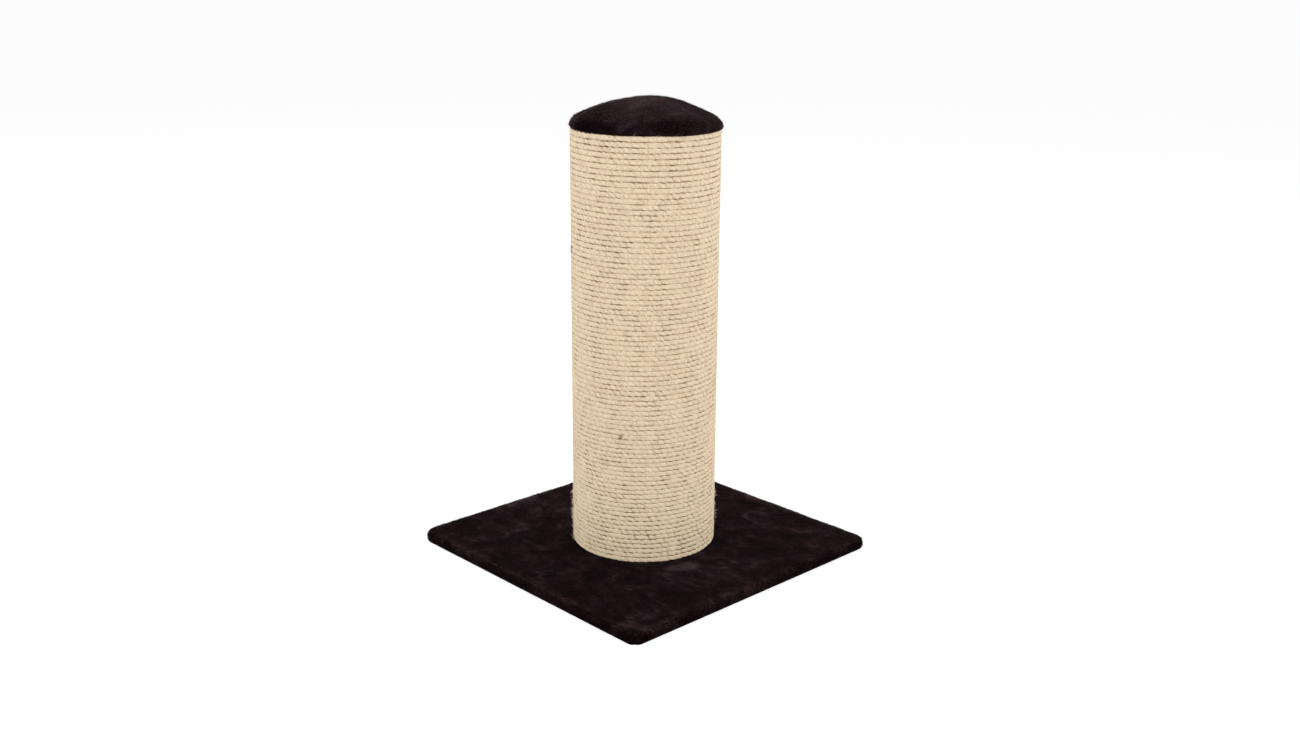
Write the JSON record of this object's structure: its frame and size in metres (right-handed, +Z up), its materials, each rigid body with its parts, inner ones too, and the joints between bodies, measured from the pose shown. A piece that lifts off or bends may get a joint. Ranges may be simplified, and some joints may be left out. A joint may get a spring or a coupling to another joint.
{
  "type": "cat scratching post",
  "caption": "Free-standing scratching post: a thick round post wound with sisal rope, a padded domed plush cap, and a square base board in plush.",
  "frame": {"origin": "centre of the base's underside, where the hem rests on the floor", "axes": "+Z up along the post, +X and +Y along the base's sides"},
  "size_m": [0.35, 0.35, 0.4899],
  "materials": {
    "plush": "very dark brown short-pile plush",
    "sisal_rope": "natural twisted sisal, dry and slightly hairy",
    "fibreboard": "raw medium density fibreboard",
    "plug_wood": "raw sawn board",
    "tube_card": "spiral wound kraft board",
    "foam": "open-cell upholstery foam",
    "zinc_steel": "zinc plated, satin"
  },
  "bodies": {
    "root": {"base_board": "fibreboard", "base_plush_cover": "plush", "base_hem_staples": "zinc_steel", "base_bolts": "zinc_steel", "bottom_tee_nuts": "zinc_steel", "bottom_plug": "plug_wood", "bottom_plug_brads": "zinc_steel", "post_tube": "tube_card", "top_plug": "plug_wood", "top_plug_brads": "zinc_steel", "top_tee_nut": "zinc_steel", "rope_lower_length": "sisal_rope", "rope_middle_length": "sisal_rope", "rope_upper_length": "sisal_rope", "rope_end_staples": "zinc_steel", "cap_board": "fibreboard", "cap_bolt": "zinc_steel", "cap_foam": "foam", "cap_plush_cover": "plush", "cap_hem_staples": "zinc_steel"}
  },
  "joints": []
}
